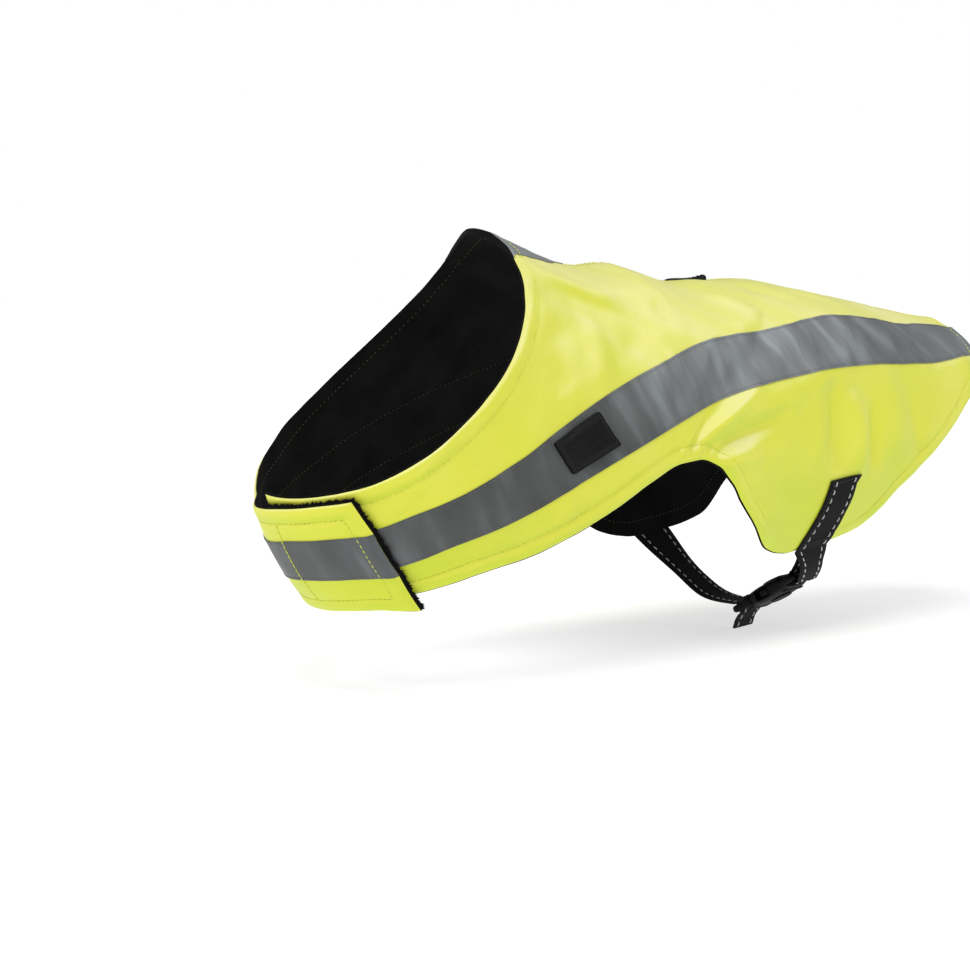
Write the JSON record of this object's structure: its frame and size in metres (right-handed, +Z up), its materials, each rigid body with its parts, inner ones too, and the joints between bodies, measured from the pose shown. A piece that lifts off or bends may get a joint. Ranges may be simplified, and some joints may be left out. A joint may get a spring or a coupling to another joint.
{
  "type": "dog safety vest",
  "caption": "Dog safety vest in its worn form: lined fluorescent halves, reflective tapes, chest closure and belly belt with buckle.",
  "frame": {"origin": "spine point of the neck edge, on the lining's inner face, where the vest lies on the wearer's back", "axes": "+Y along the spine to the rear hem, +X to the vest's left side, +Z up"},
  "size_m": [0.1727, 0.5651, 0.2524],
  "materials": {
    "shell": "fluorescent yellow woven polyester with a slight sheen",
    "lining": "matt black woven polyester",
    "reflective_tape": "grey glass-bead reflective tape, satin",
    "hook_and_loop": "black hook-and-loop pile",
    "webbing": "black ribbed webbing with two rows of pale reflective stitches",
    "buckle": "satin black acetal",
    "label": "matt black moulded rubber"
  },
  "bodies": {
    "root": {"shell_left": "shell", "shell_right": "shell", "lining_left": "lining", "lining_right": "lining", "side_tape_left": "reflective_tape", "side_tape_right": "reflective_tape", "nape_tape": "reflective_tape", "slot_trim": "lining", "loop_patch": "hook_and_loop", "hook_patch": "hook_and_loop", "belt_left": "webbing", "belt_right": "webbing", "buckle_socket": "buckle", "buckle_plug": "buckle", "rubber_label": "label"}
  },
  "joints": []
}
